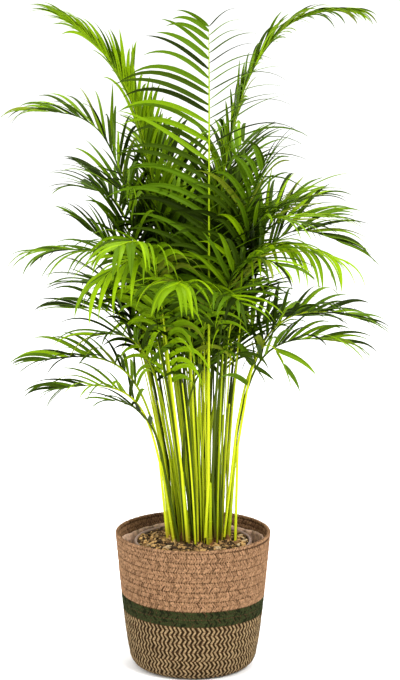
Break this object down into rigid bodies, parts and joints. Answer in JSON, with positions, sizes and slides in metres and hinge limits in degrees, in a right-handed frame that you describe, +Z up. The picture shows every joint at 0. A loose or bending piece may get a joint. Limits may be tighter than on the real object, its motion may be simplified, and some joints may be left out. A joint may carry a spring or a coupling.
{
  "type": "potted areca palm",
  "caption": "Clump-forming areca palm: slender green canes with arching feathery fronds, in a plastic nursery pot that stands inside a round sewn rope basket with a dark band.",
  "frame": {"origin": "centre of the basket's flat underside, where the plant stands", "axes": "+Z up along the plant's height, +X to the plant's right in the front view, -Y towards the front"},
  "size_m": [0.6936, 0.6149, 1.2008],
  "materials": {
    "rope_brown": "matte braided plant-fibre rope, warm brown",
    "rope_green": "matte braided rope, dark green",
    "rope_zigzag": "matte braided rope, dark brown and straw strands in zigzags",
    "pot": "satin thin plastic, taupe",
    "soil": "rough bark and coir chips, slightly moist",
    "cane": "smooth waxy live stem, yellow-green",
    "frond": "satin living leaf, green"
  },
  "bodies": {
    "root": {"basket_band": "rope_green", "basket_lower": "rope_zigzag", "basket_upper": "rope_brown", "cane_01": "cane", "cane_02": "cane", "cane_03": "cane", "cane_04": "cane", "cane_05": "cane", "cane_06": "cane", "cane_07": "cane", "cane_08": "cane", "cane_09": "cane", "cane_10": "cane", "cane_11": "cane", "cane_12": "cane", "cane_13": "cane", "cane_14": "cane", "frond_back_high_1": "frond", "frond_back_high_2": "frond", "frond_back_low_1": "frond", "frond_back_low_2": "frond", "frond_back_low_3": "frond", "frond_back_low_4": "frond", "frond_back_mid_1": "frond", "frond_back_mid_2": "frond", "frond_back_mid_3": "frond", "frond_back_mid_4": "frond", "frond_front_arch": "frond", "frond_front_left_1": "frond", "frond_front_left_2": "frond", "frond_front_right_1": "frond", "frond_front_right_2": "frond", "frond_front_right_3": "frond", "frond_high_left": "frond", "frond_inner_1": "frond", "frond_inner_2": "frond", "frond_inner_3": "frond", "frond_inner_4": "frond", "frond_left_arch": "frond", "frond_left_back": "frond", "frond_left_dark": "frond", "frond_left_front": "frond", "frond_left_mid": "frond", "frond_left_upper": "frond", "frond_low_left": "frond", "frond_low_left_front": "frond", "frond_low_right": "frond", "frond_right_arch": "frond", "frond_right_front": "frond", "frond_right_low": "frond", "frond_right_upper": "frond", "frond_right_upper_back": "frond", "frond_right_upper_front": "frond", "frond_sucker_left": "frond", "frond_sucker_right": "frond", "frond_top_centre": "frond", "frond_top_left": "frond", "frond_top_right": "frond", "nursery_pot": "pot", "soil": "soil"}
  },
  "joints": []
}
